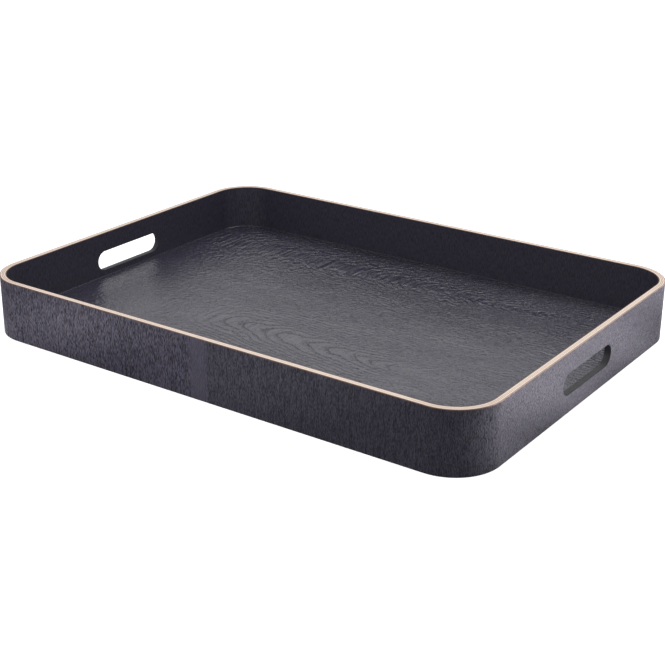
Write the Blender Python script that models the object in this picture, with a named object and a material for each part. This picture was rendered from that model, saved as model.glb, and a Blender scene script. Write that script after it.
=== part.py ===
"""A butler tray: a bent plywood rim in two halves, glued round a veneered base panel.

The rim is a stack of thin plies bent round four corners: three pale core plies between two
black stained face veneers. Its two U-shaped halves meet in a slanted scarf joint at the middle
of each long side. A groove inside the rim holds the base panel, and a hand slot with round ends
goes through each short side.

Metres, +Z up. The tray is long in X. Its origin is on the floor, under the middle of the tray.
"""

import math

import bmesh
import bpy
from mathutils import Matrix

# Outside of the tray
TRAY_LENGTH = 0.520
TRAY_WIDTH = 0.380
TRAY_HEIGHT = 0.056
CORNER_RADIUS = 0.042  # in plan, on the outer face
CORNER_SEGMENTS = 16

# Layers of the rim, from the outer face inwards
FACE_VENEER = 0.0005
CORE_PLY = 0.0014
CORE_PLIES = ("outer_ply", "middle_ply", "inner_ply")
GLUE_LINE = 0.0002  # between any two glued pieces
VENEER_SETBACK = 0.0004  # the rounded lower edge leaves the face veneers this far off the floor

# Hand slots, through the short sides
SLOT_LENGTH = 0.090
SLOT_HEIGHT = 0.020
SLOT_LEVEL = 0.027  # middle of the slot above the floor
SLOT_END_SEGMENTS = 32  # facets in a full turn

# Scarf joints, at the middle of the long sides
SCARF_LENGTH = 0.020

# Base panel and the groove that holds it
FLOOR_LEVEL = 0.011  # top of the base panel above the floor
BASE_CORE = 0.0046
BASE_VENEER = 0.0005
GROOVE_IN_PLY = 0.0007  # how far the groove goes into the inner ply, past the face veneer
GROOVE_CLEARANCE = 0.0003  # round the edge of the panel, over it and under it

CUTTER_MARGIN = 0.002  # how far a cutter runs past what it cuts

WALL = 2 * FACE_VENEER + len(CORE_PLIES) * CORE_PLY + (len(CORE_PLIES) + 1) * GLUE_LINE
PANEL_THICKNESS = BASE_CORE + 2 * (BASE_VENEER + GLUE_LINE)
PANEL_BOTTOM = FLOOR_LEVEL - PANEL_THICKNESS
GROOVE_INSET = WALL - FACE_VENEER - GLUE_LINE - GROOVE_IN_PLY
PANEL_INSET = GROOVE_INSET + GROOVE_CLEARANCE
GROOVE_BOTTOM = PANEL_BOTTOM - GROOVE_CLEARANCE
GROOVE_TOP = FLOOR_LEVEL + GROOVE_CLEARANCE

BLACK_STAINED_OAK = ("black_stained_oak", (0.030, 0.029, 0.034), 0.5)
RAW_BIRCH = ("raw_birch", (0.78, 0.64, 0.48), 0.6)
FIBREBOARD = ("fibreboard", (0.35, 0.24, 0.15), 0.8)


def clear_scene():
    for old in list(bpy.data.objects):
        bpy.data.objects.remove(old)


def make_collection(name):
    made = bpy.data.collections.new(name)
    bpy.context.scene.collection.children.link(made)
    return made


def make_material(name, finish):
    kind, colour, roughness = finish
    made = bpy.data.materials.new(f"{kind}_{name}")
    made.use_nodes = True
    shader = made.node_tree.nodes["Principled BSDF"]
    shader.inputs["Base Color"].default_value = (*colour, 1.0)
    shader.inputs["Roughness"].default_value = roughness
    shader.inputs["Metallic"].default_value = 0.0
    made.diffuse_color = (*colour, 1.0)
    return made


def mesh_of(bm, name):
    bmesh.ops.recalc_face_normals(bm, faces=bm.faces)
    mesh = bpy.data.meshes.new(name)
    bm.to_mesh(mesh)
    bm.free()
    return mesh


def add_part(name, mesh, finish, collection):
    """One piece of the tray. Pieces may share a mesh, so the material sits on the object."""
    made = bpy.data.objects.new(name, mesh)
    collection.objects.link(made)
    if not mesh.materials:
        mesh.materials.append(None)
    made.material_slots[0].link = "OBJECT"
    made.material_slots[0].material = make_material(name, finish)
    return made


def add_cutter(name, mesh, collection):
    made = bpy.data.objects.new(name, mesh)
    made.hide_render = True
    made.display_type = "WIRE"
    collection.objects.link(made)
    return made


def cut(part, cutter):
    boolean = part.modifiers.new(cutter.name, "BOOLEAN")
    boolean.operation = "DIFFERENCE"
    boolean.solver = "EXACT"
    boolean.object = cutter


def smooth(part):
    part.data.shade_smooth()
    part.data.set_sharp_from_angle(angle=math.radians(30))


def rounded_plate(bm, inset, level):
    """A flat face with the tray's outline, the given distance inside its outer face."""
    plate = bmesh.ops.create_grid(bm, x_segments=1, y_segments=1, size=0.5)
    size = (TRAY_LENGTH - 2 * inset, TRAY_WIDTH - 2 * inset, 1)
    bmesh.ops.scale(bm, vec=size, verts=plate["verts"])
    bmesh.ops.translate(bm, vec=(0, 0, level), verts=plate["verts"])
    rounded = bmesh.ops.bevel(
        bm,
        geom=plate["verts"],
        offset=CORNER_RADIUS - inset,
        segments=CORNER_SEGMENTS,
        profile=0.5,
        affect="VERTICES",
        material=-1,
    )
    return {face for vert in rounded["verts"] for face in vert.link_faces}


def raise_faces(bm, height):
    """Extrudes every face there is straight up into a closed solid."""
    top = bmesh.ops.extrude_face_region(bm, geom=bm.faces[:])
    verts = [item for item in top["geom"] if isinstance(item, bmesh.types.BMVert)]
    bmesh.ops.translate(bm, vec=(0, 0, height), verts=verts)


def panel_mesh(name, inset, low, high):
    """A flat board with the tray's outline."""
    bm = bmesh.new()
    rounded_plate(bm, inset, low)
    raise_faces(bm, high - low)
    return mesh_of(bm, name)


def band_mesh(name, inset, thickness, low, high):
    """One layer of the rim, all the way round: two outlines bridged, then raised."""
    bm = bmesh.new()
    outlines = rounded_plate(bm, inset, low) | rounded_plate(bm, inset + thickness, low)
    edges = list({edge for face in outlines for edge in face.edges})
    bmesh.ops.delete(bm, geom=list(outlines), context="FACES_ONLY")
    bmesh.ops.bridge_loops(bm, edges=edges)
    raise_faces(bm, high - low)
    return mesh_of(bm, name)


def scarf_line(depth):
    """X of the joint on the front long side, at a depth below the outer face."""
    return SCARF_LENGTH * (0.5 - depth / WALL)


def half_cutter_mesh(name):
    """Takes away the right half of the rim, up to the slanted joints and half a glue line more.

    The joint on the back is the one on the front turned by half a turn, so one shape of rim half
    serves for both ends of the tray.
    """
    slope = math.atan2(WALL, SCARF_LENGTH)
    gap = GLUE_LINE / 2 / math.sin(slope)
    outer = TRAY_WIDTH / 2 + CUTTER_MARGIN
    inner = TRAY_WIDTH / 2 - WALL - CUTTER_MARGIN
    lap = scarf_line(-CUTTER_MARGIN)
    far = TRAY_LENGTH / 2 + CUTTER_MARGIN
    outline = (
        (lap - gap, -outer),
        (far, -outer),
        (far, outer),
        (-lap - gap, outer),
        (lap - gap, inner),
        (-lap - gap, -inner),
    )
    bm = bmesh.new()
    bm.faces.new([bm.verts.new((x, y, -CUTTER_MARGIN)) for x, y in outline])
    raise_faces(bm, TRAY_HEIGHT + 2 * CUTTER_MARGIN)
    return mesh_of(bm, name)


def slot_cutter_mesh(name):
    """A bar with round edges through both short sides: the hull round two long cylinders."""
    bm = bmesh.new()
    radius = SLOT_HEIGHT / 2
    for side in (-1, 1):
        end = bmesh.ops.create_cone(
            bm,
            cap_ends=True,
            segments=SLOT_END_SEGMENTS,
            radius1=radius,
            radius2=radius,
            depth=TRAY_LENGTH + 2 * CUTTER_MARGIN,
        )
        along_x = Matrix.Rotation(math.pi / 2, 3, "Y")
        bmesh.ops.rotate(bm, cent=(0, 0, 0), matrix=along_x, verts=end["verts"])
        place = (0, side * (SLOT_LENGTH / 2 - radius), SLOT_LEVEL)
        bmesh.ops.translate(bm, vec=place, verts=end["verts"])
    bmesh.ops.delete(bm, geom=bm.edges[:], context="EDGES_FACES")
    bmesh.ops.convex_hull(bm, input=bm.verts[:])
    loose = [vert for vert in bm.verts if not vert.link_faces]
    bmesh.ops.delete(bm, geom=loose, context="VERTS")
    flat = math.radians(1)
    bmesh.ops.dissolve_limit(bm, angle_limit=flat, verts=bm.verts[:], edges=bm.edges[:])
    return mesh_of(bm, name)


def rim_layers():
    """Name, inset, thickness, lower and upper edge and finish of each layer of the rim."""
    inset = 0
    layers = [("outer_veneer", inset, FACE_VENEER, VENEER_SETBACK, TRAY_HEIGHT, BLACK_STAINED_OAK)]
    inset += FACE_VENEER + GLUE_LINE
    for name in CORE_PLIES:
        layers.append((name, inset, CORE_PLY, 0, TRAY_HEIGHT, RAW_BIRCH))
        inset += CORE_PLY + GLUE_LINE
    upper = ("inner_veneer", inset, FACE_VENEER, GROOVE_TOP, TRAY_HEIGHT, BLACK_STAINED_OAK)
    lower = ("skirt_veneer", inset, FACE_VENEER, VENEER_SETBACK, GROOVE_BOTTOM, BLACK_STAINED_OAK)
    return [*layers, upper, lower]


def build_rim(parts, cutters):
    """Two equal halves, the right one turned by half a turn. Each mesh serves both."""
    slots = add_cutter("slot_cutter", slot_cutter_mesh("slot_cutter"), cutters)
    groove_shape = panel_mesh("groove_cutter", GROOVE_INSET, GROOVE_BOTTOM, GROOVE_TOP)
    groove = add_cutter("groove_cutter", groove_shape, cutters)
    half_shape = half_cutter_mesh("half_cutter")
    meshes = {layer[0]: band_mesh(*layer[:5]) for layer in rim_layers()}
    for side, turn in (("left", 0), ("right", math.pi)):
        frame = bpy.data.objects.new(f"rim_{side}", None)
        frame.rotation_euler.z = turn
        parts.objects.link(frame)
        half = add_cutter(f"{side}_half_cutter", half_shape, cutters)
        half.parent = frame
        for name, _, _, _, _, finish in rim_layers():
            piece = add_part(f"rim_{side}_{name}", meshes[name], finish, parts)
            piece.parent = frame
            cut(piece, half)
            if name != "skirt_veneer":
                cut(piece, slots)
            if name == CORE_PLIES[-1]:
                cut(piece, groove)


def build_base(parts):
    """A fibreboard core with a face veneer on each side, its edge in the groove of the rim.

    The top veneer ends at the wall. The narrow margin that would lie in the groove is left off, so
    its upper face is the floor that things rest on and nothing else.
    """
    level = PANEL_BOTTOM
    for name, inset, thickness, finish in (
        ("base_bottom_veneer", PANEL_INSET, BASE_VENEER, BLACK_STAINED_OAK),
        ("base_core", PANEL_INSET, BASE_CORE, FIBREBOARD),
        ("base_top_veneer", WALL, BASE_VENEER, BLACK_STAINED_OAK),
    ):
        add_part(name, panel_mesh(name, inset, level, level + thickness), finish, parts)
        level += thickness + GLUE_LINE


def main():
    clear_scene()
    parts = make_collection("butler_tray")
    cutters = make_collection("cutters")
    build_rim(parts, cutters)
    build_base(parts)
    for piece in parts.objects:
        if piece.type == "MESH":
            smooth(piece)


main()
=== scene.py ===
# %% [markdown]
# # A butler tray in black stained veneer
#
# This notebook dresses a tray whose construction is already fixed. The frame brings the plies, the
# veneers and the base panel at their real size. Here the parts that show get rounded edges, glue
# lines and wood, and then a floor, soft light and a camera.

# %% Load the frame
import math

import bmesh
import bpy
from mathutils import Matrix, Vector


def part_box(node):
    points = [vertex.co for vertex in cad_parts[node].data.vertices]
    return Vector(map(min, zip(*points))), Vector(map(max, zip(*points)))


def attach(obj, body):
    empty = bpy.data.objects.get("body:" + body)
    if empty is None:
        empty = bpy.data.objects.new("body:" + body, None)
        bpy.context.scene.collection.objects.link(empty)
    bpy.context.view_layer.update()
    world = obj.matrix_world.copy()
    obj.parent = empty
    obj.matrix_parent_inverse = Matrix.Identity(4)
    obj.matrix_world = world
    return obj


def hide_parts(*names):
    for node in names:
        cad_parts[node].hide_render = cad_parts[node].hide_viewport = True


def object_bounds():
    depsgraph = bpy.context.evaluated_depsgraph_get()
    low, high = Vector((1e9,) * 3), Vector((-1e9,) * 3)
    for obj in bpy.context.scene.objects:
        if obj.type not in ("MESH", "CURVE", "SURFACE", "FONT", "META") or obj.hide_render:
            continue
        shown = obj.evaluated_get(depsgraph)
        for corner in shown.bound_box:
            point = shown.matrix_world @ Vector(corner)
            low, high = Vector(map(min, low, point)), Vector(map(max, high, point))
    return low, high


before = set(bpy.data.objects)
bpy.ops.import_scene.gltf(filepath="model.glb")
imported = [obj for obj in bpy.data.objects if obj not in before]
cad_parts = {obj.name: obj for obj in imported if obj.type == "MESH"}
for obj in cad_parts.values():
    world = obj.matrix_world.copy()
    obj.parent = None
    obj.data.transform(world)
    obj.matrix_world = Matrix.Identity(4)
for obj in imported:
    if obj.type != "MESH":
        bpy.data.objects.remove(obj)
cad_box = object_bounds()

print("nodes:", len(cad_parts), "box:", [tuple(corner) for corner in cad_box])

# %% [markdown]
# ## Sizes
#
# The outside comes from the frame's own box, so it can't drift from the construction. The layers
# could be measured off it too, but they are repeated here in millimetres, because that is how
# plywood is ordered and spoken of.

# %% Sizes of the rim
MM = 0.001
half_length = cad_box[1][0]
half_width = cad_box[1][1]
rim_height = cad_box[1][2]
corner_radius = 42 * MM
face_veneer = 0.5 * MM
core_ply = 1.4 * MM
glue_line = 0.2 * MM
wall = 2 * face_veneer + 3 * core_ply + 4 * glue_line
sides = ("left", "right")
print("wall", round(wall / MM, 2), "mm")

# %% [markdown]
# ## Bending a layer
#
# Each half of the real rim is a bundle of thin sheets, glued and pressed round a mould with two
# corners. A sheet could be cut from a ring with a Boolean, but a sweep says how it is really made:
# one cross-section runs straight, turns a corner, runs across the short side, turns again and runs
# back. Its edges are rounded once, in the cross-section, and the sweep carries them all the way. A
# short lead-in before and after each corner keeps the corner's shading off the flat wall.

# %% A sweep round two corners
corner_steps = 40
lead_in = 1 * MM


def run_straight(bm, faces, way):
    """Pushes faces along, and returns the faces that they end in."""
    grown = bmesh.ops.extrude_face_region(bm, geom=faces)["geom"]
    verts = [item for item in grown if isinstance(item, bmesh.types.BMVert)]
    bmesh.ops.translate(bm, vec=way, verts=verts)
    return [item for item in grown if isinstance(item, bmesh.types.BMFace)]


def turn_corner(bm, faces, centre):
    """The same round a corner, a quarter turn clockwise."""
    turned = bmesh.ops.spin(
        bm,
        geom=faces,
        cent=centre,
        axis=(0, 0, 1),
        angle=-math.pi / 2,
        steps=corner_steps,
        use_merge=False,
        use_duplicate=False,
    )["geom_last"]
    return [item for item in turned if isinstance(item, bmesh.types.BMFace)]


print("corner radius", round(corner_radius / MM), "mm in", corner_steps, "steps")

# %% [markdown]
# ## The end of a sheet
#
# Looked at from its end, a bent sheet is a small upright rectangle. Some of its corners are eased
# with sandpaper on the real rim. A bevel modifier would ease every long edge alike, so the corners
# are chosen by name and bevelled here, in the flat, before the sweep pulls them round the tray.

# %% The cross-section of a layer
arris_steps = 3


def cross_section(bm, inset, thickness, low, high, rounded=(), radius=0.0):
    """A small upright face at the middle of the front wall. Rounded names its eased corners."""
    grid = bmesh.ops.create_grid(bm, x_segments=1, y_segments=1, size=0.5)
    upright = Matrix.Rotation(math.pi / 2, 3, "Y")
    bmesh.ops.rotate(bm, cent=(0, 0, 0), matrix=upright, verts=grid["verts"])
    bmesh.ops.scale(bm, vec=(1, thickness, high - low), verts=grid["verts"])
    middle = (0, -half_width + inset + thickness / 2, (low + high) / 2)
    bmesh.ops.translate(bm, vec=middle, verts=grid["verts"])
    eased = []
    for vert in grid["verts"]:
        side = "outer" if vert.co.y < middle[1] else "inner"
        end = "upper" if vert.co.z > middle[2] else "lower"
        if (side, end) in rounded:
            eased.append(vert)
    if eased:
        bmesh.ops.bevel(
            bm,
            geom=eased,
            offset=radius,
            segments=arris_steps,
            profile=0.5,
            affect="VERTICES",
            material=-1,
        )
    return bm.faces[:]


print("rounded edges in", arris_steps, "steps")

# %% [markdown]
# ## The slanted joint
#
# The halves meet in a scarf joint at the middle of each long side: both ends are cut to long
# slants that lap, so the glue has far more wood to hold than in a plain butt. On the sweep, the
# end points only have to slide along the wall by how deep they lie in it.

# %% Slant the two ends
scarf_length = 20 * MM
seam_gap = 0.05 * MM
hair = 1e-6  # closer than this, two points are one


def scarf_line(depth):
    """X of the front joint, at a depth below the outer face."""
    return scarf_length * (0.5 - depth / wall)


def slant_ends(bm):
    """The front end laps over on the outside, and the back end on the inside."""
    for vert in bm.verts:
        if abs(vert.co.x) > hair:
            continue
        if vert.co.y < 0:
            vert.co.x = scarf_line(vert.co.y + half_width) - seam_gap
        else:
            vert.co.x = -scarf_line(half_width - vert.co.y) - seam_gap


print("slant", round(math.degrees(math.atan2(wall, scarf_length))), "degrees off the wall")

# %% [markdown]
# ## One layer from end to end
#
# Now the steps come together: the cross-section is swept along the front, round the corner, along
# the short side and back, and then its ends are slanted. Each layer is made in a bmesh of its own,
# because the slant looks for the ends by their place, and then it joins the others of its piece.

# %% A whole layer
def as_mesh(bm, name):
    """Turns a bmesh into a mesh and lets the bmesh go."""
    mesh = bpy.data.meshes.new(name)
    bm.to_mesh(mesh)
    bm.free()
    return mesh


def bent_layer(bm, inset, thickness, low, high, rounded=(), radius=0.0):
    """Adds one layer of the left half to the bmesh."""
    layer = bmesh.new()
    end = cross_section(layer, inset, thickness, low, high, rounded, radius)
    straight = half_length - corner_radius
    across = half_width - corner_radius
    end = run_straight(layer, end, (-straight + lead_in, 0, 0))
    end = run_straight(layer, end, (-lead_in, 0, 0))
    end = turn_corner(layer, end, (-straight, -across, 0))
    end = run_straight(layer, end, (0, lead_in, 0))
    end = run_straight(layer, end, (0, 2 * (across - lead_in), 0))
    end = run_straight(layer, end, (0, lead_in, 0))
    end = turn_corner(layer, end, (-straight, across, 0))
    end = run_straight(layer, end, (lead_in, 0, 0))
    run_straight(layer, end, (straight - lead_in, 0, 0))
    slant_ends(layer)
    held = as_mesh(layer, "layer")
    bm.from_mesh(held)
    bpy.data.meshes.remove(held)


print("straight runs", round((half_length - corner_radius) / MM), "mm each way")

# %% [markdown]
# ## The hand slot
#
# A router cuts the slot through all layers at once, after the rim is glued. Its outline could be
# drawn as two lines and two arcs, but a circle pulled apart in the middle is the same with less
# work, and its round ends stay true.

# %% The slot's outline
slot_length = 90 * MM
slot_height = 20 * MM
slot_level = 27 * MM
slot_steps = 96  # in the full circle


def slot_outline(bm, radius, x, filled):
    """A long slot with round ends, upright across the given X."""
    circle = bmesh.ops.create_circle(bm, cap_ends=filled, segments=slot_steps, radius=radius)
    verts = circle["verts"]
    half_step = Matrix.Rotation(math.pi / slot_steps, 3, "Z")
    bmesh.ops.rotate(bm, cent=(0, 0, 0), matrix=half_step, verts=verts)
    for way in (-1, 1):
        side = [vert for vert in verts if vert.co.y * way > 0]
        pull = way * (slot_length - slot_height) / 2
        bmesh.ops.translate(bm, vec=(0, pull, 0), verts=side)
    upright = Matrix.Rotation(math.pi / 2, 3, "Y")
    bmesh.ops.rotate(bm, cent=(0, 0, 0), matrix=upright, verts=verts)
    bmesh.ops.translate(bm, vec=(x, 0, slot_level), verts=verts)


print("slot", round(slot_length / MM), "by", round(slot_height / MM), "mm")

# %% [markdown]
# ## Cutting the slot
#
# Extruded through the tray, the outline is the wood that the router takes away. A Boolean takes it
# from every layer. The sweep could leave the slot open instead, but then its round ends would have
# to be stitched in by hand. The cut is applied at once, so that a plain mesh stays.

# %% Cut the slot
cutter_margin = 5 * MM


def add_object(name, data):
    made = bpy.data.objects.new(name, data)
    bpy.context.scene.collection.objects.link(made)
    return made


def slot_cutter():
    bm = bmesh.new()
    far = half_length + cutter_margin
    slot_outline(bm, slot_height / 2, -far, filled=True)
    run_straight(bm, bm.faces[:], (2 * far, 0, 0))
    bmesh.ops.recalc_face_normals(bm, faces=bm.faces[:])
    return add_object("slot_cutter", as_mesh(bm, "slot_cutter"))


def cut_slot(bm):
    """Returns a new bmesh with the slot taken out."""
    uncut = add_object("uncut", as_mesh(bm, "uncut"))
    cutter = slot_cutter()
    boolean = uncut.modifiers.new("slot", "BOOLEAN")
    boolean.operation = "DIFFERENCE"
    boolean.solver = "EXACT"
    boolean.object = cutter
    graph = bpy.context.evaluated_depsgraph_get()
    cut = bmesh.new()
    cut.from_mesh(uncut.evaluated_get(graph).data)
    bpy.data.objects.remove(uncut)
    bpy.data.objects.remove(cutter)
    return cut


print("cutter", round(2 * (half_length + cutter_margin) / MM), "mm long")

# %% [markdown]
# ## A soft edge to hold
#
# Fingers curl round the edge of the slot, so it is broken with sandpaper, a quarter of a
# millimetre. A bevel modifier would ease every sharp edge, but only the loop on the face that shows
# is touched. It is found by where it lies, because the Boolean gives its edges no names.

# %% Ease the slot's edge on one face
slot_ease = 0.25 * MM
ease_steps = 2
on_face = 0.01 * MM  # how near to the face, and how near to the slot, a point has to lie
by_slot = 0.1 * MM


def ease_slot(bm, face_x):
    """Rounds the loop where the slot comes out of the face at this distance from the middle."""

    def on_loop(vert):
        near_face = abs(abs(vert.co.x) - face_x) < on_face
        near_slot = abs(vert.co.y) < slot_length / 2 + by_slot
        level = abs(vert.co.z - slot_level) < slot_height / 2 + by_slot
        return near_face and near_slot and level

    loop = [edge for edge in bm.edges if all(on_loop(vert) for vert in edge.verts)]
    bmesh.ops.bevel(
        bm,
        geom=loop,
        offset=slot_ease,
        segments=ease_steps,
        profile=0.5,
        affect="EDGES",
        material=-1,
    )
    return len(loop)


print("slot edge eased by", round(slot_ease / MM, 2), "mm")

# %% [markdown]
# ## Both halves
#
# The two halves are one and the same shape, turned by half a turn, because one mould presses both.
# The right half could be a turned copy of an object, but every object here stays at the origin,
# unturned, as the frame's own nodes do. So each mesh is made in the left half's place, and for the
# right it is turned before it becomes an object. Edges are kept sharp from 12 degrees: the slanted
# ends leave the wall at 17, and smoothed into it they would make the long wall look curved.

# %% Finish a piece as an object
sharp_from = math.radians(12)


def finish_piece(bm, name, side, body="root"):
    """Makes an object of the bmesh, in the place of its half, and lets it ride on the body."""
    if side == "right":
        half_turn = Matrix.Rotation(math.pi, 3, "Z")
        bmesh.ops.rotate(bm, cent=(0, 0, 0), matrix=half_turn, verts=bm.verts[:])
    bmesh.ops.remove_doubles(bm, verts=bm.verts[:], dist=hair)
    bmesh.ops.recalc_face_normals(bm, faces=bm.faces[:])
    mesh = as_mesh(bm, name)
    mesh.shade_smooth()
    mesh.set_sharp_from_angle(angle=sharp_from)
    made = add_object(name, mesh)
    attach(made, body)
    return made


print("edges stay sharp from", round(math.degrees(sharp_from)), "degrees")

# %% [markdown]
# ## Face veneers
#
# The veneers are what the eye and the hand meet. On the real rim their outer arrises are sanded
# just round enough not to cut, about a third of a millimetre. The frame's own veneers could be
# bevelled, but their corners are faceted, so new ones of the same place and thickness replace them.

# %% Outer and inner face veneers
arris = 0.3 * MM
veneer_setback = 0.4 * MM
groove_clearance = 0.3 * MM
groove_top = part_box("base_top_veneer")[1].z + groove_clearance
outer_eased = (("outer", "upper"), ("outer", "lower"))
inner_eased = (("inner", "upper"),)
veneers = {}
for side in sides:
    outer = bmesh.new()
    bent_layer(outer, 0, face_veneer, veneer_setback, rim_height, outer_eased, arris)
    outer = cut_slot(outer)
    loop = ease_slot(outer, half_length)
    piece = finish_piece(outer, f"{side}_outer_veneer", side)
    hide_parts(f"rim_{side}_outer_veneer")
    veneers[f"{side}_outer"] = piece

    inner = bmesh.new()
    inset = wall - face_veneer
    bent_layer(inner, inset, face_veneer, groove_top, rim_height, inner_eased, arris)
    inner = cut_slot(inner)
    ease_slot(inner, half_length - wall)
    piece = finish_piece(inner, f"{side}_inner_veneer", side)
    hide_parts(f"rim_{side}_inner_veneer")
    veneers[f"{side}_inner"] = piece
    print(side, "slot loop edges", loop, "faces", len(veneers[f"{side}_outer"].data.polygons))

# %% [markdown]
# ## Glue lines
#
# Between the sheets lies a film of glue that soaks into the wood and dries a shade darker. In the
# frame these films are empty gaps, which would read as black lines on the pale edge. Wider plies
# could close them, but nothing would be left of the glue, so thin bands fill them, a hair below
# the sanded edge.

# %% Fill the gaps between the layers
edge_sink = 0.03 * MM
glue_clearance = 0.01 * MM
gap_fill = glue_line - 2 * glue_clearance
glue_insets = [face_veneer + k * (core_ply + glue_line) for k in range(4)]
glue = {}
for side in sides:
    films = bmesh.new()
    for inset in glue_insets:
        low = groove_top if inset == glue_insets[-1] else veneer_setback
        bent_layer(films, inset + glue_clearance, gap_fill, low, rim_height - edge_sink)
    films = cut_slot(films)
    piece = finish_piece(films, f"{side}_glue_lines", side)
    glue[side] = piece
    print(side, "glue films", len(glue_insets), "faces", len(piece.data.polygons))

# %% [markdown]
# ## Paint in the slots
#
# The cut plies in the slots have been painted black, and the paint runs over plies, glue and
# veneers alike. It could be a colour on the plies, but paint hides the steps between them, so it
# is one smooth film a tenth of a millimetre thick: two outlines, bridged and pushed through.

# %% Slot paint
paint_film = 0.1 * MM
outer_end = -half_length + slot_ease
inner_end = -half_length + wall - slot_ease
paint = {}
for side in sides:
    film = bmesh.new()
    slot_outline(film, slot_height / 2, outer_end, filled=False)
    slot_outline(film, slot_height / 2 - paint_film, outer_end, filled=False)
    bmesh.ops.bridge_loops(film, edges=film.edges[:])
    run_straight(film, film.faces[:], (inner_end - outer_end, 0, 0))
    piece = finish_piece(film, f"{side}_slot_paint", side)
    paint[side] = piece
print("slot paint faces", len(paint["left"].data.polygons))

# %% [markdown]
# ## A bead round the floor
#
# Where the base meets the wall, lacquer has run into the joint and dried as a fine bead, which
# shows as a thin light line in the far corner. It could be a wire on a curve, but it follows the
# wall, so the same sweep makes it, with its upper inner corner rounded almost away.

# %% Lacquer bead
bead_size = 0.5 * MM
bead_roundness = 0.9
floor_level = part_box("base_top_veneer")[1].z
top = floor_level + bead_size
beads = {}
for side in sides:
    bead = bmesh.new()
    bent_layer(bead, wall, bead_size, floor_level, top, inner_eased, bead_roundness * bead_size)
    piece = finish_piece(bead, f"{side}_lacquer_bead", side)
    beads[side] = piece
print("bead top", round(top / MM, 2), "mm")

# %% [markdown]
# ## Colours
#
# Colours are written as they look on a screen, because that is how they are picked and compared. A
# shader adds up light, so it needs them in linear light. They could be typed in that way, but
# nobody can picture such numbers, so one function turns the one into the other.

# %% Screen colour to linear light
def linear(code):
    channels = [int(code[i : i + 2], 16) / 255 for i in (1, 3, 5)]
    low = [c / 12.92 for c in channels]
    high = [((c + 0.055) / 1.055) ** 2.4 for c in channels]
    return (*[a if c <= 0.04045 else b for c, a, b in zip(channels, low, high)], 1.0)


print("middle grey in linear light:", round(linear("#808080")[0], 3))

# %% [markdown]
# ## Helpers for materials
#
# A material is a small tree of nodes. It could be joined up by hand in the shader editor, but code
# can be read and repeated. One function adds a node with its settings, its values and its links, so
# that each finish below reads like a recipe. Wood, oil, lacquer, paint and dried glue all bend
# light by about 1.5, and none of them is a metal.

# %% Node helpers
plain_ior = 1.5
colour_mix = {"data_type": "RGBA"}
value_mix = {"data_type": "FLOAT"}
soft_step = {"interpolation_type": "SMOOTHSTEP"}


def add_node(tree, kind, settings=None, **values):
    """Values are keyed by socket name, with _ for a space, or by iN for the Nth input.

    A socket or a node given as a value is linked, and a node gives its first output.
    """
    node = tree.nodes.new(f"ShaderNode{kind}")
    for name, value in (settings or {}).items():
        setattr(node, name, value)
    for name, value in values.items():
        numbered = name[0] == "i" and name[1:].isdigit()
        socket = node.inputs[int(name[1:]) if numbered else name.replace("_", " ")]
        if isinstance(value, bpy.types.Node):
            value = value.outputs[0]
        if isinstance(value, bpy.types.NodeSocket):
            tree.links.new(value, socket)
        else:
            socket.default_value = value
    return node


def new_material(name):
    """An empty material and its tree."""
    made = bpy.data.materials.new(name)
    made.use_nodes = True
    made.node_tree.nodes.clear()
    return made, made.node_tree


def dress(thing, material):
    thing.data.materials.clear()
    thing.data.materials.append(material)


print("index of refraction of every finish:", plain_ior)

# %% [markdown]
# ## Open pores
#
# Oak and ash have open pores, long thin tubes that a sliced veneer cuts along. The stain makes
# them darker than the wood between, and light that falls into them hardly comes out again. They
# could be cut into the mesh, but there are tens of thousands of them, so they stay in the material.
# One factor, 1 on wood and 0 in a pore, drives everything: the colour, the roughness, the strength
# of the shine and the height.

# %% Wood and pores from one factor
plain_shine = 0.5
pore_rougher = 0.2
pore_duller = 0.35
wood_brighter = 0.05


def stained_wood(tree, solid, height, pore, wood, satin, openness, depth):
    """The shader's inputs. Satin is the roughness of the wood, and openness goes from 0 to 1."""
    colours = {"i6": linear(pore), "i7": linear(wood)}
    rough = {"To_Min": satin + pore_rougher * openness, "To_Max": satin}
    dull = plain_shine - pore_duller * openness
    bright = plain_shine + wood_brighter * openness
    return {
        "Base_Color": add_node(tree, "Mix", colour_mix, i0=solid, **colours).outputs[2],
        "Roughness": add_node(tree, "MapRange", Value=solid, **rough),
        "Specular_IOR_Level": add_node(tree, "MapRange", Value=solid, To_Min=dull, To_Max=bright),
        "Normal": add_node(tree, "Bump", Strength=1.0, Distance=depth, Height=height),
    }


print("open pores:", pore_rougher, "rougher and", pore_duller, "duller than the wood")

# %% [markdown]
# ## Grain of the rim
#
# On the rim the grain stands upright, round the bend rather than along it. The pores are short
# dashes, 3 mm long, with long faint streaks through them. An image of real veneer would do, but it
# would have to be unrolled round every corner. Noise stretched in height needs no unrolling. Real
# pores are 0.2 to 0.3 mm wide, too fine to show in the render, so they are drawn 0.45 mm wide.

# %% Upright pores and streaks
streak_length = 10 * MM
streak_share = 0.6
rim_pore_ends = {"From_Min": 0.38, "From_Max": 0.62}


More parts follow.
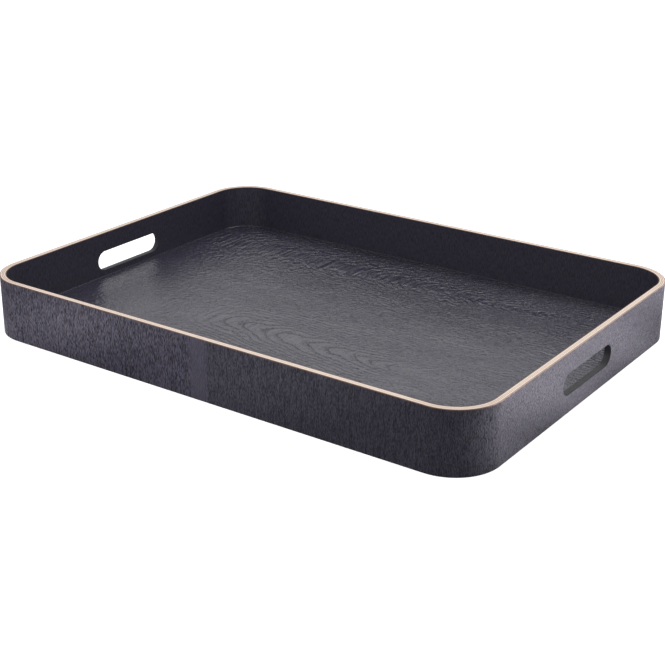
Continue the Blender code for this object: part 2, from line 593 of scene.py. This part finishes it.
def upright_grain(tree, place, width, length):
    """The grain's height, and 1 on wood and 0 in a pore."""
    dash = (1 / width, 1 / width, 1 / length)
    short = add_node(tree, "Mapping", Vector=place, Scale=dash)
    pores = add_node(tree, "TexNoise", Vector=short, Scale=1.0, Detail=1.0)
    streak = (1 / width, 1 / width, 1 / streak_length)
    long = add_node(tree, "Mapping", Vector=place, Scale=streak)
    streaks = add_node(tree, "TexNoise", Vector=long, Scale=1.0, Detail=1.0)
    share = {"i1": streak_share, "i2": -streak_share / 2}
    faint = add_node(tree, "Math", {"operation": "MULTIPLY_ADD"}, i0=streaks, **share)
    grain = add_node(tree, "Math", {"operation": "ADD"}, i0=pores, i1=faint)
    return grain, add_node(tree, "MapRange", Value=grain, **rim_pore_ends)


print("streaks", round(streak_length / MM), "mm long")

# %% [markdown]
# ## Wear of the rim
#
# Where the outer veneer laps the joint it has been sanded flush, and there the pores are nearly
# gone. The upper arris is worn through the stain to brown wood, and on the short sides, where hands
# take hold, to paler wood. Each could be painted by hand, but a real tray wears where it is
# touched, so here the wear follows the place on the rim.

# %% Sanded lap and worn arris
sanded_lap = scarf_length / 2
sanding_fades = {"From_Min": sanded_lap - 5 * MM, "From_Max": sanded_lap + 3 * MM}
sanded_level = 0.62
wear_grows = {"From_Min": rim_height - 0.9 * MM, "From_Max": rim_height - 0.3 * MM}
short_side = {"From_Min": half_length - 5 * MM, "From_Max": half_length - 1 * MM}
worn_wood = "#5d4638"
short_side_wood = "#b89a84"


def sand_lap(tree, from_joint, solid, amount):
    """Evens out the pores near the joint."""
    levels = {"To_Min": amount, "To_Max": 0.0}
    sanded = add_node(tree, "MapRange", soft_step, Value=from_joint, **sanding_fades, **levels)
    return add_node(tree, "Mix", value_mix, i0=sanded, i2=solid, i3=sanded_level)


def wear_arris(tree, from_joint, level, stained):
    """Bares the wood along the upper edge."""
    outermost = add_node(tree, "MapRange", Value=from_joint, **short_side)
    woods = {"i6": linear(worn_wood), "i7": linear(short_side_wood)}
    bare = add_node(tree, "Mix", colour_mix, i0=outermost, **woods).outputs[2]
    worn = add_node(tree, "MapRange", soft_step, Value=level, **wear_grows)
    return add_node(tree, "Mix", colour_mix, i0=worn, i6=stained, i7=bare).outputs[2]


print("sanded lap", round(2 * sanded_lap / MM), "mm wide")

# %% [markdown]
# ## Veneer on the rim
#
# Both halves are covered in sliced oak, stained black and thinly oiled. Its material could be one
# long list of nodes, but each step above is something that was done to the wood, so the recipe only
# puts them in their order: grain, sanding, stain and wear.

# %% A recipe for the rim's veneer
def rim_veneer(name, pore, wood, width, length, depth, satin, openness, lap_evened):
    """Width and length are a pore's, and depth is how far its edges fall."""
    material, tree = new_material(name)
    place = add_node(tree, "TexCoord").outputs["Object"]
    axes = add_node(tree, "SeparateXYZ", Vector=place).outputs
    from_joint = add_node(tree, "Math", {"operation": "ABSOLUTE"}, i0=axes["X"])
    grain, solid = upright_grain(tree, place, width, length)
    evened = sand_lap(tree, from_joint, solid, lap_evened)
    inputs = stained_wood(tree, evened, grain, pore, wood, satin, openness, depth)
    inputs["Base_Color"] = wear_arris(tree, from_joint, axes["Z"], inputs["Base_Color"])
    shader = add_node(tree, "BsdfPrincipled", Metallic=0.0, IOR=plain_ior, **inputs)
    add_node(tree, "OutputMaterial", Surface=shader)
    return material


print("wear grows from", round(wear_grows["From_Min"] / MM, 1), "mm up")

# %% [markdown]
# ## Three sheets of oak
#
# The left half's sheet is coarser than the right one's, and inside the pores are filled. Each could
# have nodes of its own, but they differ only in colour, sheen and pores, so each is the same recipe
# with its own numbers. Oiled wood has a roughness of 0.3 to 0.5.

# %% Oak outside and inside the rim
# Left half outside, stained open-pored oak: pores break the sheen into short upright dashes
coarse = rim_veneer(
    "black_stained_oak_coarse",
    pore="#0c0b12",
    wood="#434052",
    width=0.45 * MM,
    length=3.2 * MM,
    depth=0.3 * MM,
    satin=0.30,
    openness=1.0,
    lap_evened=0.7,
)
# Right half outside, a tighter sheet of the same: an even colour, and pores that only glitter
fine = rim_veneer(
    "black_stained_oak_fine",
    pore="#1d1c25",
    wood="#2a2936",
    width=0.42 * MM,
    length=2.4 * MM,
    depth=0.3 * MM,
    satin=0.30,
    openness=1.0,
    lap_evened=0.7,
)
# Both halves inside, filled and rubbed down: matt and smooth, so the inner walls look soft
inside = rim_veneer(
    "black_stained_oak_inside",
    pore="#23212c",
    wood="#383644",
    width=0.5 * MM,
    length=4 * MM,
    depth=0.02 * MM,
    satin=0.42,
    openness=0.3,
    lap_evened=0.0,
)
dress(veneers["left_outer"], coarse)
dress(veneers["right_outer"], fine)
for side in sides:
    dress(veneers[f"{side}_inner"], inside)
    dress(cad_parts[f"rim_{side}_skirt_veneer"], inside)
print("rim veneers:", coarse.name, fine.name, inside.name)

# %% [markdown]
# ## Rings of a log
#
# A slice taken across the outside of a log shows its growth rings as long arches, called
# cathedrals. Arches could be drawn as curves, but they would never taper and crowd as real ones
# do. So the figure is cut as in a sawmill: rings round the heart of a log, which rises slowly
# towards the slice. With rings 3.4 mm apart and a rise of 0.155, the tips of the arches come 22 mm
# apart. Slices of one log lie side by side, 185 mm wide each, so the figure comes twice.

# %% Distance from the heart
leaf_width = 185 * MM
leaf_joint = 35 * MM  # Y of the joint between two slices
heart_rise = 0.155
heart_out = 190 * MM  # X where the heart would reach the slice
ring_spacing = 3.4 * MM
# Length, width and amount of the log's slow wander
sideways_drift = (70 * MM, 40 * MM, 9 * MM)
upward_drift = (50 * MM, 50 * MM, 5 * MM)


def drift(tree, place, along, across, amount):
    """A slow wander of the grain, up to this amount either way."""
    wide = add_node(tree, "Mapping", Vector=place, Scale=(1 / along, 1 / across, 1 / across))
    noise = add_node(tree, "TexNoise", Vector=wide, Scale=1.0, Detail=2.0)
    swing = {"i1": 2 * amount, "i2": -amount}
    return add_node(tree, "Math", {"operation": "MULTIPLY_ADD"}, i0=noise, **swing)


def ring_radius(tree, place):
    """X, the place across the leaf, and how far a point lies from the heart of its log."""
    axes = add_node(tree, "SeparateXYZ", Vector=place).outputs
    over = add_node(tree, "Math", {"operation": "SUBTRACT"}, i0=axes["Y"], i1=leaf_joint)
    in_leaf = add_node(tree, "Math", {"operation": "FLOORED_MODULO"}, i0=over, i1=leaf_width)
    across = add_node(tree, "Math", {"operation": "SUBTRACT"}, i0=in_leaf, i1=leaf_width / 2)
    sideways = drift(tree, place, *sideways_drift)
    wavy = add_node(tree, "Math", {"operation": "ADD"}, i0=across, i1=sideways)
    slope = {"i1": -heart_rise, "i2": heart_rise * heart_out}
    rise = add_node(tree, "Math", {"operation": "MULTIPLY_ADD"}, i0=axes["X"], **slope)
    upwards = drift(tree, place, *upward_drift)
    uneven = add_node(tree, "Math", {"operation": "ADD"}, i0=rise, i1=upwards)
    to_heart = add_node(tree, "CombineXYZ", X=wavy, Y=uneven)
    radius = add_node(tree, "VectorMath", {"operation": "LENGTH"}, i0=to_heart).outputs["Value"]
    return axes["X"], wavy, radius


print("arch tips", round(ring_spacing / heart_rise / MM), "mm apart")

# %% [markdown]
# ## Early and late wood
#
# Pores crowd where each ring began to grow, so short dark dashes line up along the arches. Towards
# both ends the arches open out, and there the dashes run straight. The dashes could be bent round
# the arches too, but they are short enough to stay straight: the rings only decide where they show.

# %% Pores along the rings
# Where in a ring late wood is reached, and the levels at the ring's end and past the arches
late_begins, ring_end_level, straight_level = 0.6, 0.9, 0.7
late_share = 0.28
arches_begin = {"From_Min": -115 * MM, "From_Max": -75 * MM}
arches_end = {"From_Min": 95 * MM, "From_Max": 130 * MM}
dash_length, dash_width = 3 * MM, 0.9 * MM
floor_pore_ends = {"From_Min": 0.49, "From_Max": 0.64}


def late_wood(tree, along, radius):
    """0 where a ring began to grow, 1 in its late wood, and even past the ends of the arches."""
    rings = add_node(tree, "Math", {"operation": "DIVIDE"}, i0=radius, i1=ring_spacing)
    ring = add_node(tree, "Math", {"operation": "FRACT"}, i0=rings)
    denser = add_node(tree, "MapRange", Value=ring, From_Max=late_begins)
    tailing = {"From_Min": late_begins, "To_Min": 1.0, "To_Max": ring_end_level}
    ending = add_node(tree, "MapRange", Value=ring, **tailing)
    late = add_node(tree, "Math", {"operation": "MULTIPLY"}, i0=denser, i1=ending)
    begun = add_node(tree, "MapRange", Value=along, **arches_begin)
    not_ended = add_node(tree, "MapRange", Value=along, To_Min=1.0, To_Max=0.0, **arches_end)
    arched = add_node(tree, "Math", {"operation": "MULTIPLY"}, i0=begun, i1=not_ended)
    return add_node(tree, "Mix", value_mix, i0=arched, i2=straight_level, i3=late)


def ringed_grain(tree, along, across, radius):
    """The grain's height, and 1 on wood and 0 in a pore."""
    straight = add_node(tree, "CombineXYZ", X=along, Y=across)
    dash = (1 / dash_length, 1 / dash_width, 1)
    stretched = add_node(tree, "Mapping", Vector=straight, Scale=dash)
    dashes = add_node(tree, "TexNoise", Vector=stretched, Scale=1.0, Detail=2.0, Roughness=0.6)
    late = {"i0": late_wood(tree, along, radius), "i1": late_share}
    mixed = add_node(tree, "Math", {"operation": "MULTIPLY_ADD"}, i2=dashes, **late)
    return mixed, add_node(tree, "MapRange", Value=mixed, **floor_pore_ends)


print("late wood fills", round(100 * (1 - late_begins)), "percent of a ring")

# %% [markdown]
# ## Crown-cut veneer on the base
#
# The sheet stays a little rippled after pressing, most of all at the back, and there the low light
# picks the ripples out as pale flecks. They could be modelled, but no outline shows them, so they
# are relief in the material. Dashes and ripples are drawn coarser than real, 0.9 and 2.5 mm wide,
# and the ripples steeper too, because finer ones don't show in the render.

# %% The base's veneer
ripple_length, ripple_width = 5.5 * MM, 2.5 * MM
ripple_height = 13.5  # times that of the dashes
front_ripples = 0.3
ripples_grow = {"From_Min": 25 * MM, "From_Max": 120 * MM}
floor_openness = 0.9


def pressed_ripples(tree, place, along, radius, grain):
    """Ripples that follow the rings, laid over the grain, higher towards the back."""
    curved = add_node(tree, "CombineXYZ", X=along, Y=radius)
    swell = (1 / ripple_length, 1 / ripple_width, 1)
    stretched = add_node(tree, "Mapping", Vector=curved, Scale=swell)
    ripples = add_node(tree, "TexNoise", Vector=stretched, Scale=1.0, Detail=2.0)
    to_back = add_node(tree, "SeparateXYZ", Vector=place).outputs["Y"]
    share = add_node(tree, "MapRange", Value=to_back, To_Min=front_ripples, **ripples_grow)
    raised = add_node(tree, "Math", {"operation": "MULTIPLY"}, i0=share, i1=ripple_height)
    over = {"i0": ripples, "i1": raised, "i2": grain}
    return add_node(tree, "Math", {"operation": "MULTIPLY_ADD"}, **over)


def crown_cut(name, pore, wood, satin, depth):
    """Rings first, then pores along them, and ripples over both."""
    material, tree = new_material(name)
    place = add_node(tree, "TexCoord").outputs["Object"]
    along, across, radius = ring_radius(tree, place)
    grain, solid = ringed_grain(tree, along, across, radius)
    height = pressed_ripples(tree, place, along, radius, grain)
    inputs = stained_wood(tree, solid, height, pore, wood, satin, floor_openness, depth)
    shader = add_node(tree, "BsdfPrincipled", Metallic=0.0, IOR=plain_ior, **inputs)
    add_node(tree, "OutputMaterial", Surface=shader)
    return material


# Crown-cut oak, stained and lacquered: a low sheen broken by arches of dashes and by ripples
floor_veneer = crown_cut(
    "black_stained_oak_crown_cut", pore="#14131b", wood="#33313f", satin=0.24, depth=0.3 * MM
)
for node in ("base_top_veneer", "base_bottom_veneer"):
    dress(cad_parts[node], floor_veneer)
print("base veneer:", floor_veneer.name)

# %% [markdown]
# ## Stain and glue in the plies
#
# The plies show only as a pale stripe on the rim's edges. Black stain and its brown binder have
# crept a little way into them from the faces, and glue has soaked in along the joints, more so in
# the bends, where the sheets were pulled hardest. They could be painted on along every edge, but
# both follow the depth in the wall, so that depth is worked out in the material: how far a point
# lies from the straight part round which the corners turn.

# %% Stain by depth in the wall
stain_reach = 0.5 * MM
glue_reach = 0.5 * MM
joint_depth = (core_ply + glue_line) / 2
glue_outside_bends = 0.25
bend_grows = {"From_Min": -20 * MM, "From_Max": 5 * MM}
above_all = 1.0


def past_straight(tree, place):
    """How far a point lies past the straight part, in X and in Y. Its height never counts."""
    away = add_node(tree, "VectorMath", {"operation": "ABSOLUTE"}, i0=place)
    straight = (half_length - corner_radius, half_width - corner_radius, above_all)
    return add_node(tree, "VectorMath", {"operation": "SUBTRACT"}, i0=away, i1=straight)


def stain_depth(tree, place):
    """1 where a ply touches a stained face or, in a bend, the next ply, and 0 away from both."""
    past = past_straight(tree, place)
    kept = add_node(tree, "VectorMath", {"operation": "MAXIMUM"}, i0=past, i1=(0, 0, 0))
    reach = add_node(tree, "VectorMath", {"operation": "LENGTH"}, i0=kept).outputs["Value"]
    middle = corner_radius - wall / 2
    beside = add_node(tree, "Math", {"operation": "SUBTRACT"}, i0=reach, i1=middle)
    from_middle = add_node(tree, "Math", {"operation": "ABSOLUTE"}, i0=beside)
    edge = wall / 2 - face_veneer - glue_line
    near_face = {"From_Min": edge - stain_reach, "From_Max": edge}
    at_face = add_node(tree, "MapRange", Value=from_middle, **near_face)
    aside = add_node(tree, "Math", {"operation": "SUBTRACT"}, i0=from_middle, i1=joint_depth)
    off_line = add_node(tree, "Math", {"operation": "ABSOLUTE"}, i0=aside)
    near_joint = {"From_Max": glue_reach, "To_Min": 1.0, "To_Max": 0.0}
    at_joint = add_node(tree, "MapRange", Value=off_line, **near_joint)
    axes = add_node(tree, "SeparateXYZ", Vector=past).outputs
    into_bend = add_node(tree, "Math", {"operation": "MINIMUM"}, i0=axes["X"], i1=axes["Y"])
    bent = add_node(tree, "MapRange", Value=into_bend, To_Min=glue_outside_bends, **bend_grows)
    soaked = add_node(tree, "Math", {"operation": "MULTIPLY"}, i0=at_joint, i1=bent)
    return add_node(tree, "Math", {"operation": "MAXIMUM"}, i0=at_face, i1=soaked)


print("stain reaches", round(stain_reach / MM, 2), "mm into the plies")

# %% [markdown]
# ## Pale plies
#
# The grain crosses from ply to ply: the outer and inner ones run along the rim, and the middle one
# stands upright and shows its end grain as fine dots. A flat colour would look like card, so one
# noise, pulled long in the grain's direction, gives colour, shine and relief together. Bare sanded
# wood has a roughness near 0.6. Birch has pores about 0.1 mm wide, too fine to show in the render,
# so its veins and dots are drawn 0.5 mm wide.

# %% The plies
ply_stain = "#966c50"
fine_width = 0.5 * MM
along_rim = (1 / (3 * MM), 1 / (3 * MM), 1 / fine_width)
end_grain = (1 / fine_width, 1 / fine_width, 1 / (6 * MM))
vein_roughness, ply_roughness = 0.62, 0.52
sanded_relief = 0.03 * MM
# Nearly all of a noise lies between these, and a bump is kept to this share
noise_ends = {"From_Min": 0.3, "From_Max": 0.7}
faint_bump = 0.3


def pale_ply(name, body, vein, grain_scale):
    """Bare wood or glue in two tones, with the stain at its edges."""
    material, tree = new_material(name)
    place = add_node(tree, "TexCoord").outputs["Object"]
    stretched = add_node(tree, "Mapping", Vector=place, Scale=grain_scale)
    grain = add_node(tree, "TexNoise", Vector=stretched, Scale=1.0, Detail=3.0)
    colours = {"i6": linear(vein), "i7": linear(body)}
    clean = add_node(tree, "Mix", colour_mix, i0=grain, **colours).outputs[2]
    stain = {"i0": stain_depth(tree, place), "i7": linear(ply_stain)}
    wood = add_node(tree, "Mix", colour_mix, i6=clean, **stain).outputs[2]
    levels = {"To_Min": vein_roughness, "To_Max": ply_roughness}
    rough = add_node(tree, "MapRange", Value=grain, **noise_ends, **levels)
    relief = add_node(tree, "Bump", Strength=faint_bump, Distance=sanded_relief, Height=grain)
    inputs = {"Base_Color": wood, "Roughness": rough, "Normal": relief}
    shader = add_node(tree, "BsdfPrincipled", Metallic=0.0, IOR=plain_ior, **inputs)
    add_node(tree, "OutputMaterial", Surface=shader)
    return material


# Peeled birch, sanded along its grain: creamy and calm, with faint long veins
long_ply = pale_ply("birch_ply_long_grain", "#f3e6db", "#e9d9cb", along_rim)
# Peeled birch, sanded across its grain: a shade darker, because end grain drinks in light
cross_ply = pale_ply("birch_ply_end_grain", "#e9d9cc", "#dac5b4", end_grain)
# Dried wood glue: thin amber lines between the plies
glue_film = pale_ply("wood_glue_film", "#94694c", "#7b563e", along_rim)
for side in sides:
    dress(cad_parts[f"rim_{side}_outer_ply"], long_ply)
    dress(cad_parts[f"rim_{side}_middle_ply"], cross_ply)
    dress(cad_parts[f"rim_{side}_inner_ply"], long_ply)
    dress(glue[side], glue_film)
print("plies:", long_ply.name, cross_ply.name, glue_film.name)

# %% [markdown]
# ## Fibreboard
#
# The base is a board of pressed wood fibre, brown and without grain. It is hidden by its veneers
# and by the groove, and could be left plain, but a tray cut open for a drawing would show it. So it
# gets a noise with no direction. Its fibres are thinner than 0.1 mm, too fine to show, and are
# drawn as tufts of 0.8 mm. A sawn edge of it is rough, about 0.85.

# %% The base's core
fibre_size = 0.8 * MM
fibre_ends = {"From_Min": 0.35, "From_Max": 0.65}
fibre_roughness = 0.85
felt_relief = 0.05 * MM


def pressed_fibre(name, dark, light):
    """Tufts in two tones, with no direction."""
    material, tree = new_material(name)
    place = add_node(tree, "TexCoord").outputs["Object"]
    fibres = add_node(tree, "TexNoise", Vector=place, Scale=1 / fibre_size, Detail=4.0)
    felted = add_node(tree, "MapRange", Value=fibres, **fibre_ends)
    colours = {"i6": linear(dark), "i7": linear(light)}
    brown = add_node(tree, "Mix", colour_mix, i0=felted, **colours).outputs[2]
    relief = add_node(tree, "Bump", Strength=faint_bump, Distance=felt_relief, Height=fibres)
    inputs = {"Base_Color": brown, "Roughness": fibre_roughness, "Normal": relief}
    shader = add_node(tree, "BsdfPrincipled", Metallic=0.0, IOR=plain_ior, **inputs)
    add_node(tree, "OutputMaterial", Surface=shader)
    return material


# Medium density fibreboard, pressed and sawn: an even felt of light and dark brown
fibreboard = pressed_fibre("medium_density_fibreboard", "#8a6f52", "#a98c6b")
dress(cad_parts["base_core"], fibreboard)
print("core:", fibreboard.name)

# %% [markdown]
# ## Black paint and lacquer
#
# Both are smooth films, so only their unevenness shows. Strokes could be drawn one by one, but from
# here a wide, shallow noise that moves the shine and the height a little looks the same. The
# slot's paint is matt and the bead is glossy.

# %% Films of paint and lacquer
stroke_width = 3 * MM
stroke_relief = 0.05 * MM
stroke_rougher = 0.08


def smooth_black(name, colour, satin):
    """A brushed film, with this roughness where it is smoothest."""
    material, tree = new_material(name)
    place = add_node(tree, "TexCoord").outputs["Object"]
    strokes = add_node(tree, "TexNoise", Vector=place, Scale=1 / stroke_width, Detail=2.0)
    levels = {"To_Min": satin, "To_Max": satin + stroke_rougher}
    rough = add_node(tree, "MapRange", Value=strokes, **noise_ends, **levels)
    relief = add_node(tree, "Bump", Strength=faint_bump, Distance=stroke_relief, Height=strokes)
    inputs = {"Base_Color": linear(colour), "Roughness": rough, "Normal": relief}
    shader = add_node(tree, "BsdfPrincipled", Metallic=0.0, IOR=plain_ior, **inputs)
    add_node(tree, "OutputMaterial", Surface=shader)
    return material


# Matt edge paint, dabbed on: it swallows light, so the slots look deep
slot_black = smooth_black("black_edge_paint", "#14131a", 0.58)
# Lacquer that ran and dried: smooth enough to catch a thin bright line
lacquer = smooth_black("black_lacquer_bead", "#2b2a34", 0.22)
for side in sides:
    dress(paint[side], slot_black)
    dress(beads[side], lacquer)
print("films:", slot_black.name, lacquer.name)

# %% [markdown]
# ## Studio floor
#
# Black wood takes its look from what it mirrors, and the upright walls mirror the table beside
# the tray. In a studio that table isn't evenly bright: soft boxes stand low at the right and at the
# front left. So the floor is pale and matt, and only gloss sees soft pools of light on it. To the
# camera it glows a little, so that it runs into the white behind, and it still takes the shadow.

# %% Floor
stage_reach = 6.0
stage = bmesh.new()
bmesh.ops.create_grid(stage, x_segments=1, y_segments=1, size=stage_reach)
studio_floor = add_object("studio_floor", as_mesh(stage, "studio_floor"))
print("floor", 2 * stage_reach, "m wide")

# %% [markdown]
# ## Pools of light
#
# Real soft boxes could stand there, but their light would fall on the tray too. A pool that only
# gloss sees gives the walls their gradient and nothing else. Each fades out softly from its middle.

# %% Paper with pools of light
# Middle, radius and brightness of each pool
pools = (
    ((-0.22, -0.30, 0), 0.16, 2.5),
    ((0.0, -0.30, 0), 0.16, 1.05),
    ((0.34, -0.12, 0), 0.12, 2.2),
    ((0.34, 0.0, 0), 0.12, 4.0),
    ((0.34, 0.12, 0), 0.12, 3.4),
    ((0.60, 0.35, 0), 0.40, 10.5),
)
paper_in_gloss = 0.5
camera_glow = 0.7
paper_white, soft_box_white = "#f0f0f0", "#f6f0ff"

# Matt white paper: it takes the shadow and has no shine of its own
floor_paint, tree = new_material("matt_white_paper")
path = add_node(tree, "LightPath").outputs
place = add_node(tree, "TexCoord").outputs["Object"]
mirrored = paper_in_gloss
for middle, radius, brightness in pools:
    gap = add_node(tree, "VectorMath", {"operation": "DISTANCE"}, i0=place, i1=middle)
    fade = {"From_Max": radius, "To_Min": brightness, "To_Max": 0.0}
    pool = add_node(tree, "MapRange", soft_step, Value=gap.outputs["Value"], **fade)
    mirrored = add_node(tree, "Math", {"operation": "ADD"}, i0=mirrored, i1=pool)
lift = {"i0": path["Is Camera Ray"], "i1": camera_glow}
lifted = add_node(tree, "Math", {"operation": "MULTIPLY"}, **lift)
matt = add_node(tree, "BsdfDiffuse", Color=linear(paper_white))
glow = add_node(tree, "Emission", Strength=lifted)
paper = add_node(tree, "AddShader", i0=matt, i1=glow)
pooled = add_node(tree, "Emission", Color=linear(soft_box_white), Strength=mirrored)
seen = add_node(tree, "MixShader", i0=path["Is Glossy Ray"], i1=paper, i2=pooled)
add_node(tree, "OutputMaterial", Surface=seen)
dress(studio_floor, floor_paint)
print("pools of light:", len(pools))

# %% [markdown]
# ## Surroundings
#
# White paper all round gives most of the light. A picture of a real studio could stand there, but
# it would bring reflections that belong to another room. The camera sees the paper as white, the
# wood mirrors it less brightly, and as a lamp it is dimmer still, so that the black stays black.

# %% Surroundings
# Its strength as a lamp, and how much more gloss and the camera see
light_given, more_in_gloss, more_in_view = 0.28, 0.60, 0.75
world = bpy.data.worlds.new("white_studio")
bpy.context.scene.world = world
world.use_nodes = True
tree = world.node_tree
tree.nodes.clear()
path = add_node(tree, "LightPath").outputs
in_gloss = {"i0": path["Is Glossy Ray"], "i1": more_in_gloss, "i2": light_given}
gloss_level = add_node(tree, "Math", {"operation": "MULTIPLY_ADD"}, **in_gloss)
in_view = {"i0": path["Is Camera Ray"], "i1": more_in_view, "i2": gloss_level}
level = add_node(tree, "Math", {"operation": "MULTIPLY_ADD"}, **in_view)
sky = add_node(tree, "Background", Color=linear("#ffffff"), Strength=level)
add_node(tree, "OutputWorld", Surface=sky)
print("seen by the camera:", light_given + more_in_view)

# %% [markdown]
# ## Lamps
#
# Four soft discs shape the light: one high at the right, one low in front, and two behind at the
# left, where the tray's floor mirrors them. The wide one there lays an even sheen on the floor, and
# the smaller, higher one catches the ripples. Points of light would be simpler, but dark wood
# would show each of them as a hard spot.

# %% Lamps
# Place, width and watts of each lamp
lamps = {
    "key_lamp": ((0.424, 0.424, 1.039), 0.6, 5.9),
    "front_lamp": ((0, -0.843, 0.707), 0.6, 4.5),
    "back_lamp": ((-0.861, 1.229, 1.609), 2.5, 6.9),
    "high_lamp": ((-0.669, 0.955, 1.866), 1.2, 5.5),
}
for name, (place, width, watts) in lamps.items():
    lamp = bpy.data.lights.new(name, "AREA")
    lamp.shape = "DISK"
    lamp.size = width
    lamp.energy = watts
    made = add_object(name, lamp)
    made.location = place
    made.rotation_euler = (-Vector(place)).to_track_quat("-Z", "Y").to_euler()
print("lamps:", ", ".join(lamps))

# %% [markdown]
# ## Camera
#
# The camera stands where the photograph was taken from, a fair way off and a little above the
# rim. It could be placed by eye in the viewport, but here its numbers were fitted to the tray's
# edges. They give its place as a turn, a height and a distance round a point on the floor.

# %% Camera
turn, rise, roll = math.radians(35.153), math.radians(22.315), math.radians(0.257)
distance = 1.27258
aim = Vector((0.00392, -0.00345, 0.0))
focal_length, sensor_width = 73.883, 36.0
near_limit = 0.05
back = Vector((math.sin(turn) * math.cos(rise), -math.cos(turn) * math.cos(rise), math.sin(rise)))
right = Vector((0, 0, 1)).cross(back).normalized()
up = back.cross(right)
right, up = (
    right * math.cos(roll) + up * math.sin(roll),
    up * math.cos(roll) - right * math.sin(roll),
)
lens = bpy.data.cameras.new("camera")
lens.lens = focal_length
lens.sensor_width = sensor_width
lens.clip_start = near_limit
camera = add_object("camera", lens)
turned = Matrix((right, up, back)).transposed().to_4x4()
camera.matrix_world = Matrix.Translation(aim + back * distance) @ turned
bpy.context.scene.camera = camera
bpy.context.scene.view_settings.view_transform = "Standard"
print("camera at", tuple(round(c, 3) for c in camera.location))
